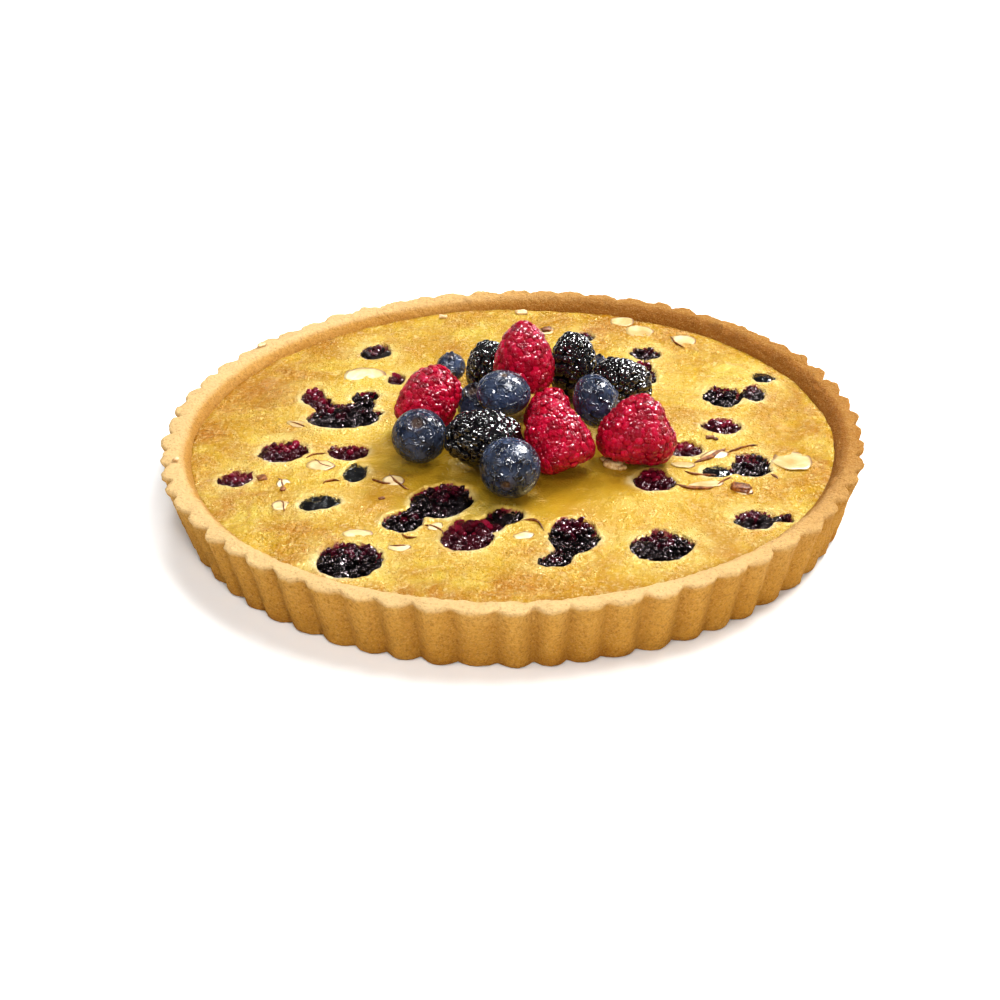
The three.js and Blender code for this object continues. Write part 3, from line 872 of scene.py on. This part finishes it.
def make_filling():
    bpy.ops.mesh.primitive_grid_add(
        x_subdivisions=FILLING_GRID, y_subdivisions=FILLING_GRID, size=2 * MM
    )
    filling = bpy.context.object
    top_count = len(filling.data.vertices)
    start_edit("DESELECT")
    bpy.ops.mesh.select_non_manifold()
    bpy.ops.mesh.extrude_edges_move(TRANSFORM_OT_translate={"value": (0, 0, -MM)})
    bpy.ops.mesh.edge_face_add()
    end_edit()
    square = points_of(filling) / MM
    x, y = square[:, 0], square[:, 1]
    wide = np.abs(x) > np.abs(y)
    long_side = np.where(wide, x, y)
    safe = np.where(long_side == 0, 1, long_side)
    slope = np.where(wide, y, x) / safe * math.pi / 4
    angle = np.where(wide, slope, math.pi / 2 - slope)
    is_top = np.arange(len(square)) < top_count
    radius = long_side * np.where(is_top, FILLING_RADIUS, FILLING_FOOT_RADIUS)
    x, y = radius * np.cos(angle), radius * np.sin(angle)
    flat = flat_points(x, y)
    reach = np.hypot(x, y)
    distance, upper, nearest = hole_field(x, y)
    edge = smoothstep(*BAKED_EDGE, reach)
    pool_x, pool_y, half_width, half_depth = POOL
    pile = np.hypot((x - pool_x) / half_width, (y - pool_y) / half_depth)
    # Glaze pooled in front of the pile, whose darker colour is partly painted shade
    pool = (1 - smoothstep(0.75, 1.5, pile + noise_at(flat, 14, 12) * 0.25)) * smoothstep(14, -10, y)
    blister = noise_at(flat, 3.2, 9, 3) * 0.3 * (1 - 0.7 * pool)
    blister += noise_at(flat, 1.5, 11) * 0.14 * (0.3 + 0.7 * edge)
    lip = np.exp(-((distance - 1.0) / 1.0) ** 2) * (0.3 - 0.15 * upper)
    drop = (1 - smoothstep(-0.7, 0.15, distance)) * HOLE_DEPTH
    groove = smoothstep(*GROOVE, reach) * GROOVE_DEPTH
    level = custard_surface(x, y) + blister * (1 - groove) + lip - drop - groove
    z = np.where(is_top, level, FILLING_FLOOR)
    set_points(filling, np.stack([x, y, z], axis=1) * MM)
    # Pale rims on the near and left edges of the holes: partly the custard's paler lip, partly painted
    # highlight
    left_side = np.clip(0.65 - 0.55 * upper, 0.1, 1)
    patchy = np.clip(0.5 + 0.9 * noise_at(flat, 8, 10), 0, 1)
    pale = np.exp(-(np.maximum(distance, 0) / 1.3) ** 2) * left_side * (0.12 + 0.75 * patchy ** 1.5)
    red = np.array([kind != "blueberry" for kind, *_ in HOLES + ARMS])[nearest]
    bleed = np.exp(-np.maximum(distance, 0) / 0.9) * np.clip(upper, 0, 1)
    bleed *= np.clip(0.4 + noise_at(flat, 6, 13), 0, 1) * red
    far_side = smoothstep(-0.1, 0.8, upper + noise_at(flat, 2.5, 15) * 0.5) * red
    amber = np.zeros_like(x)
    for centre_x, centre_y, half_width, half_depth in AMBER:
        apart = ((x - centre_x) / half_width) ** 2 + ((y - centre_y) / half_depth) ** 2
        amber = np.maximum(amber, np.exp(-apart))
    set_attributes(
        filling,
        edge=edge,
        near=np.exp(-(np.maximum(distance, 0) / 6.5) ** 2),
        pale_rim=np.clip(pale, 0, 1) * is_top,
        stain=(1 - smoothstep(-0.35, 0.2, distance)) * is_top,
        bleed=bleed * is_top,
        far_side=far_side,
        pool=pool,
        amber=amber * (1 - pool),
    )
    finish_piece(filling, "custard", filling_material(), "filling", "filling")


# Berries

def berry_radius(kind, height):
    point = kind["tipped"] if height > 0 else kind["stalked"]
    egg = (1 - kind["fuller"] * height) / (1 + kind["fuller"] ** 2)
    return math.sqrt(max(0, 1 - height * height)) ** point * egg


def turn_to(tip):
    """The rotation that points +Z along the tip and keeps +X near the tart's own +X or +Y."""
    axis = Vector(tip).normalized()
    guide = Vector((1, 0, 0)) if abs(axis.x) < 0.9 else Vector((0, 1, 0))
    side = (guide - guide.dot(axis) * axis).normalized()
    other = axis.cross(side)
    return Matrix((side, other, axis)).transposed()


def make_drupelet():
    """One drupelet, its outer end up: a ball drawn in below and a little flattened above."""
    bpy.ops.mesh.primitive_ico_sphere_add(subdivisions=2, radius=1)
    drupelet = bpy.context.object
    start_edit("DESELECT")
    bpy.ops.object.mode_set(mode="OBJECT")
    for vertex in drupelet.data.vertices:
        vertex.select = vertex.co.z < -0.3
    bpy.ops.object.mode_set(mode="EDIT")
    bpy.ops.transform.resize(value=(0.75, 0.75, 1), center_override=(0, 0, 0))
    bpy.ops.mesh.select_all(action="SELECT")
    bpy.ops.transform.resize(value=(1, 1, 0.85), center_override=(0, 0, 0))
    end_edit()
    return drupelet


def joined_copies(name, template, places, tints):
    """One mesh with a copy of the template at each place, each copy with its own tint."""
    shape = points_of(template)
    faces = [tuple(p.vertices) for p in template.data.polygons]
    count = len(shape)
    points = []
    corners = []
    for i, place in enumerate(places):
        m = np.array(place)
        points.append(shape @ m[:3, :3].T + m[:3, 3])
        corners += [tuple(c + i * count for c in face) for face in faces]
    mesh = bpy.data.meshes.new(name)
    mesh.from_pydata(np.concatenate(points).tolist(), [], corners)
    joined = bpy.data.objects.new(name, mesh)
    bpy.context.scene.collection.objects.link(joined)
    # Painted shade towards the base of each copy, where drupelets meet
    hollow = smoothstep(0.5, -0.1, shape[:, 2])
    set_attributes(joined, tint=np.repeat(tints, count), hollow=np.tile(hollow, len(places)))
    return joined


def join(first, *others):
    bpy.ops.object.select_all(action="DESELECT")
    for piece in (first, *others):
        piece.select_set(True)
    bpy.context.view_layer.objects.active = first
    bpy.ops.object.join()
    return first


def berry_rows(kind, radius, length, spacing):
    """Rows of drupelets from the stalk end to the tip: (radius, height, outward slope)."""
    steps = 400
    line = []
    for i in range(steps + 1):
        h = -math.cos(math.pi * i / steps)
        line.append((radius * berry_radius(kind, h), h * length / 2))
    rows = []
    travelled = 0
    wanted = spacing * 0.55
    for (r0, z0), (r1, z1) in zip(line, line[1:]):
        step = math.hypot(r1 - r0, z1 - z0)
        travelled += step
        if travelled >= wanted:
            rows.append((r1, z1, math.atan2(-(r1 - r0), z1 - z0)))
            wanted += spacing * ROW_PITCH
    return rows


def dent_depth(dent, angle, height):
    """How deep a dent reaches into a berry at an angle about its axis and a height from -1 to 1."""
    middle_angle, middle_height, depth = dent
    turned = math.remainder(angle - math.radians(middle_angle), 2 * math.pi)
    return depth * math.exp(-(turned / 0.55) ** 2 - ((height - middle_height) / 0.33) ** 2)


def stand(berry, centre, tip):
    """Turns an upright berry in millimetres to its tip, and puts it in the pile."""
    move = Matrix.Translation(centre) @ turn_to(tip).to_4x4()
    berry.data.transform(Matrix.Scale(MM, 4) @ move)


def drupelet_berry(drupelet, kind_name, name, centre, radius, length, tip, skin):
    kind = KINDS[kind_name]
    spacing = SPACING.get(name, kind["spacing"])
    stretch = STRETCH.get(name, 1)
    dents = DENTS.get(name, ())
    size = spacing * kind["width"]
    flat = kind["thickness"]
    places = []
    for r, z, slope in berry_rows(kind, radius, length, spacing):
        count = max(1, round(2 * math.pi * r / spacing))
        first = random.random()
        for i in range(count):
            angle = 2 * math.pi * (i + first + random.uniform(-0.3, 0.3)) / count
            outward = Vector((math.cos(slope), 0, math.sin(slope)))
            scale = size * random.uniform(0.82, 1.15)
            sink = scale * 0.85 * flat - kind["bulge"] + random.uniform(-0.12, 0.22)
            sink += sum(dent_depth(dent, angle, 2 * z / length) for dent in dents)
            at = Vector((r, 0, z + random.uniform(-0.25, 0.25) * spacing)) - outward * sink
            place = Matrix.Rotation(angle, 4, "Z") @ Matrix.Translation(at)
            place = place @ outward.to_track_quat("Z", "Y").to_matrix().to_4x4()
            place = place @ Matrix.Diagonal((scale, scale, scale * flat, 1))
            places.append(Matrix.Diagonal((stretch, 1 / stretch, 1, 1)) @ place)
    tints = [random.random() for _ in places]
    drupelets = joined_copies(name + "_drupelets", drupelet, places, tints)
    bpy.ops.mesh.primitive_uv_sphere_add(segments=28, ring_count=18, radius=1)
    core = bpy.context.object
    shape = points_of(core)
    for point in shape:
        h = max(-1, min(1, point[2]))
        around = math.hypot(point[0], point[1])
        reach = max(0, radius * berry_radius(kind, h) - kind["core_depth"])
        angle = math.atan2(point[1], point[0])
        reach -= sum(dent_depth(dent, angle, h) for dent in dents)
        grow = reach / around if around > 1e-6 else 0
        point[0] *= grow * stretch
        point[1] *= grow / stretch
        point[2] = h * (length / 2 - kind["core_depth"])
    set_points(core, shape)
    # The core shows in the gaps: painted shade darkens it and lowers its tint
    gaps = np.full(len(shape), kind["gap_shade"])
    set_attributes(core, tint=0.5 - 0.5 * gaps, hollow=gaps)
    berry = join(core, drupelets)
    stand(berry, centre, tip)
    finish_piece(berry, name + "_glazed", skin, "fresh_" + kind_name, name)


def fresh_blueberry(name, centre, radius, length, tip, skin):
    bpy.ops.mesh.primitive_uv_sphere_add(segments=60, ring_count=72, radius=1)
    berry = bpy.context.object
    points = points_of(berry)
    angle = np.arctan2(points[:, 1], points[:, 0])
    crown = SCAR if name in SCARRED else CROWN
    out = np.hypot(points[:, 0], points[:, 1]) / crown["width"]
    near_tip = points[:, 2] > 0.6
    lobes = 0.5 + 0.5 * np.cos(5 * angle)
    ring = np.exp(-((out - 1.05 - 0.12 * lobes) / 0.2) ** 2) * near_tip
    middle = (1 - smoothstep(0.5, 1.0, out)) * near_tip
    dent = noise_at(points, 0.9, sum(centre)) * 0.025
    points *= (1 + dent)[:, None]
    points *= [radius, radius, length / 2]
    points[:, 2] += ring * (crown["ring"] + crown["lobes"] * lobes) - middle * crown["middle"]
    set_points(berry, points)
    stand(berry, centre, tip)
    set_attributes(berry, crown=np.clip(middle * 0.9 + ring * 0.25, 0, 1) * crown["brown"])
    finish_piece(berry, name + "_glazed", skin, "fresh_blueberry", name)


def baked_drupelet_places():
    """Where the drupelets of the baked berries stand in the holes, by kind and number of the berry:
    each with how red it is, which grows towards the far side of its hole."""
    rows = int(2 * FILLING_RADIUS / BAKED_SPACING / ROW_PITCH)
    grid = np.array([
        ((column + row % 2 / 2) * BAKED_SPACING, row * BAKED_SPACING * ROW_PITCH)
        for row in range(-rows // 2, rows // 2)
        for column in range(-rows // 2, rows // 2)
    ])
    spread = np.random.default_rng(BAKED_SEED)
    grid += spread.uniform(-0.5, 0.5, grid.shape)
    grid = grid[np.hypot(grid[:, 0], grid[:, 1]) < FILLING_RADIUS - 3]
    x, y = grid[:, 0], grid[:, 1]
    distance, upper, nearest = hole_field(x, y)
    surface = custard_surface(x, y)
    owners = [(kind, number) for kind, number, *_ in HOLES + ARMS]
    places = {owner: [] for owner in owners}
    for i in np.flatnonzero(distance < 0.25):
        size = BAKED_SPACING * spread.uniform(0.3, 0.85)
        tucked = 0.7 - 0.35 * upper[i] + spread.uniform(-0.5, 0.6)
        at = Matrix.Translation((x[i], y[i], surface[i] - tucked - size * 0.7))
        lean = Vector((spread.uniform(-0.4, 0.4), spread.uniform(-0.5, 0.3), 1))
        turn = lean.to_track_quat("Z", "Y").to_matrix().to_4x4()
        place = at @ turn @ Matrix.Diagonal((size, size, size, 1))
        redness = 0.05 + 0.5 * smoothstep(0.2, 1, upper[i]) + spread.uniform(0, 0.35)
        places[owners[nearest[i]]].append((place, redness))
    return places


def baked_berry(kind, number, x, y, width, depth, drupelet, places, skin):
    """A collapsed berry in its hole: a dented dome, with drupelets all over it unless it is smooth."""
    smooth = kind == "blueberry"
    bpy.ops.mesh.primitive_ico_sphere_add(subdivisions=4, radius=1)
    core = bpy.context.object
    half_sizes = [width / 2 + BAKED_MARGIN, depth / 2 + BAKED_MARGIN, BAKED_HALF_HEIGHT]
    points = points_of(core) * half_sizes + [x, y, 0]
    surface = custard_surface(points[:, 0], points[:, 1])
    wrinkles = noise_at(points, 2.2, number) * 0.45 + noise_at(points, 1.0, number + 3) * 0.2
    skinned = smoothstep(0.1, 0.75, noise_at(points, 4.5, number + 9)) * SKIN_RISE[kind]
    points[:, 2] += surface - BAKED_DEPTH[kind] + wrinkles + skinned
    set_points(core, points)
    tint = np.clip(0.3 + noise_at(points, 4, number + 6) * 0.6, 0, 1)
    # Painted shade on the core between the drupelets
    set_attributes(core, tint=tint, hollow=np.full(len(points), 0.2 if smooth else 0.8))
    if places and not smooth:
        stood = [place for place, _ in places]
        rednesses = [redness for _, redness in places]
        core = join(core, joined_copies("baked_drupelets", drupelet, stood, rednesses))
        slumped = points_of(core)
        for direction in range(3):
            slumped[:, direction] += noise_at(slumped, 1.4, number + 20 + direction) * 0.35
        set_points(core, slumped)
    core.data.transform(Matrix.Scale(MM, 4))
    node_name = f"baked_{kind}_{number}"
    finish_piece(core, node_name + "_sunken", skin, "baked_" + kind, node_name)


def berry_skins():
    """The materials of fresh and baked berries by name."""
    pinkish = {"IOR": 1.42, "Specular_Tint": (1, 0.8, 0.85, 1)}
    # Tones, where the middle one lies, waves of the glaze per metre, and their depth in metres
    rows = {
        "fresh raspberry": (("6c0218", "9c0424", "c00e3a"), 0.5, 750, 0.0006, {
            "Subsurface_Weight": 0.2,
            "Subsurface_Radius": (1.0, 0.1, 0.12),
            "Subsurface_Scale": 0.0012,
            "IOR": 1.54,
            "Specular_Tint": (1, 0.82, 0.86, 1),
        }),
        "fresh bramble": (("030203", "08050a", "180a12"), 0.6, 600, 0.0006, {"IOR": 1.9}),
        "baked raspberry": (("140207", "3c0612", "960c34"), 0.5, 800, 0.0005, pinkish),
        "baked bramble": (("020102", "070304", "560a22"), 0.5, 800, 0.0005, pinkish),
        "baked blueberry": (("020203", "060609", "14101a"), 0.6, 450, 0.0009, {"IOR": 1.5}),
    }
    skins = {"fresh blueberry": blueberry_material()}
    for name, ((dark, medium, light), middle, waves, wave_depth, constants) in rows.items():
        tones = [(0, dark), (middle, medium), (1, light)]
        skins[name] = drupelet_material(name + " skin", tones, waves, wave_depth, **constants)
    return skins


def make_berries():
    skins = berry_skins()
    drupelet = make_drupelet()
    for kind, berries in FRESH.items():
        skin = skins["fresh " + kind]
        for place_name, *shape in berries:
            name = f"{kind}_{place_name}"
            if kind in KINDS:
                drupelet_berry(drupelet, kind, name, *shape, skin)
            else:
                fresh_blueberry(name, *shape, skin)
    places = baked_drupelet_places()
    for kind, number, *hole in HOLES:
        skin = skins["baked " + kind]
        baked_berry(kind, number, *hole, drupelet, places[kind, number], skin)
    bpy.data.objects.remove(drupelet)


# Almond flakes

def laid(x, y, level, turn):
    """Where something lies on the tart, turned by so many degrees."""
    return Matrix.Translation((x, y, level)) @ Matrix.Rotation(math.radians(turn), 4, "Z")


def make_flakes():
    bpy.ops.mesh.primitive_circle_add(vertices=28, radius=0.5, fill_type="NGON")
    flake = bpy.context.object
    start_edit("SELECT")
    for _ in range(4):
        bpy.ops.mesh.inset(thickness=0.1)
    bpy.ops.mesh.select_all(action="SELECT")
    bpy.ops.mesh.extrude_region_move(TRANSFORM_OT_translate={"value": (0, 0, 1)})
    end_edit()
    shape = points_of(flake)
    out = np.hypot(shape[:, 0], shape[:, 1]) * 2
    angle = np.arctan2(shape[:, 1], shape[:, 0])
    shape[:, 2] = (shape[:, 2] - 0.5) * (1 - 0.4 * out ** 4)
    set_points(flake, shape)
    skin = smoothstep(0.82, 0.95, out) * smoothstep(-0.5, 0.2, np.sin(angle + 0.6))
    places = []
    for x, y, length, width, turn, tilt in FLAKES:
        place = laid(x, y, FLAKE_LIFT, turn) @ Matrix.Rotation(math.radians(tilt), 4, "X")
        places.append(place @ Matrix.Diagonal((length, width, FLAKE_THICKNESS, 1)))
    tints = [random.random() for _ in places]
    flakes = joined_copies("almonds", flake, places, tints)
    bpy.data.objects.remove(flake)
    set_attributes(flakes, skin=np.tile(skin, len(places)))
    points = points_of(flakes)
    for axis in (0, 1):
        points[:, axis] += noise_at(points, 4, 20 + axis, 3) * 0.9
    points[:, 2] += custard_surface(points[:, 0], points[:, 1]) + noise_at(points, 4, 25) * 0.15
    set_points(flakes, points * MM)
    finish_piece(flakes, "almond_flakes", almond_material(), "filling")


def make_slivers():
    """Thin edges of almond skin that show above the custard: bent strips that taper to both ends."""
    bpy.ops.mesh.primitive_cube_add(size=1)
    strip = bpy.context.object
    start_edit("SELECT")
    bpy.ops.mesh.subdivide(number_cuts=7)
    end_edit()
    straight = points_of(strip)
    along = straight[:, 0] * 2
    taper = np.sqrt(np.maximum(0.02, 1 - along ** 2))
    straight[:, 1:] *= taper[:, None]
    slivers = []
    for x, y, length, thick, turn, bend in SLIVERS:
        shape = straight * [length, thick, SLIVER_TALL]
        shape[:, 1] += bend * (1 - along ** 2)
        set_points(strip, shape)
        place = laid(x, y, SLIVER_LIFT, turn)
        slivers.append(joined_copies("sliver", strip, [place], [random.random()]))
    bpy.data.objects.remove(strip)
    joined = join(*slivers)
    points = points_of(joined)
    for axis in (0, 1):
        points[:, axis] += noise_at(points, 2.5, 30 + axis) * 0.5
    points[:, 2] += custard_surface(points[:, 0], points[:, 1])
    set_points(joined, points * MM)
    finish_piece(joined, "almond_skins", skin_material(), "filling")


def make_nuts():
    """Toasted pieces of nut and crumbs of crust: lumps with flattened, broken sides."""
    bpy.ops.mesh.primitive_ico_sphere_add(subdivisions=3, radius=1)
    lump = bpy.context.object
    round_lump = points_of(lump)
    for name, rows, material in (
        ("toasted_nut_pieces", NUTS, skin_material()),
        ("crust_crumbs", CRUMBS, crumb_material()),
    ):
        lumps = []
        for i, (x, y, level, length, width, tall, turn) in enumerate(rows):
            shape = round_lump * (1 + noise_at(round_lump, 0.7, i + 40, 2) * 0.45)[:, None]
            set_points(lump, np.clip(shape, -0.85, 0.85))
            place = laid(x, y, level, turn) @ Matrix.Diagonal((length / 2, width / 2, tall / 2, 1))
            lumps.append(joined_copies("lump", lump, [place], [random.random()]))
        joined = join(*lumps)
        points = points_of(joined)
        on_filling = np.hypot(points[:, 0], points[:, 1]) < LEVEL_RADIUS - 1
        custard = custard_surface(points[:, 0], points[:, 1])
        points[:, 2] += np.where(on_filling, custard, CASE_HEIGHT)
        set_points(joined, points * MM)
        finish_piece(joined, name, material, "filling")
    bpy.data.objects.remove(lump)


add_camera()
add_studio()
add_floor()
make_crust()
make_filling()
make_berries()
make_flakes()
make_slivers()
make_nuts()
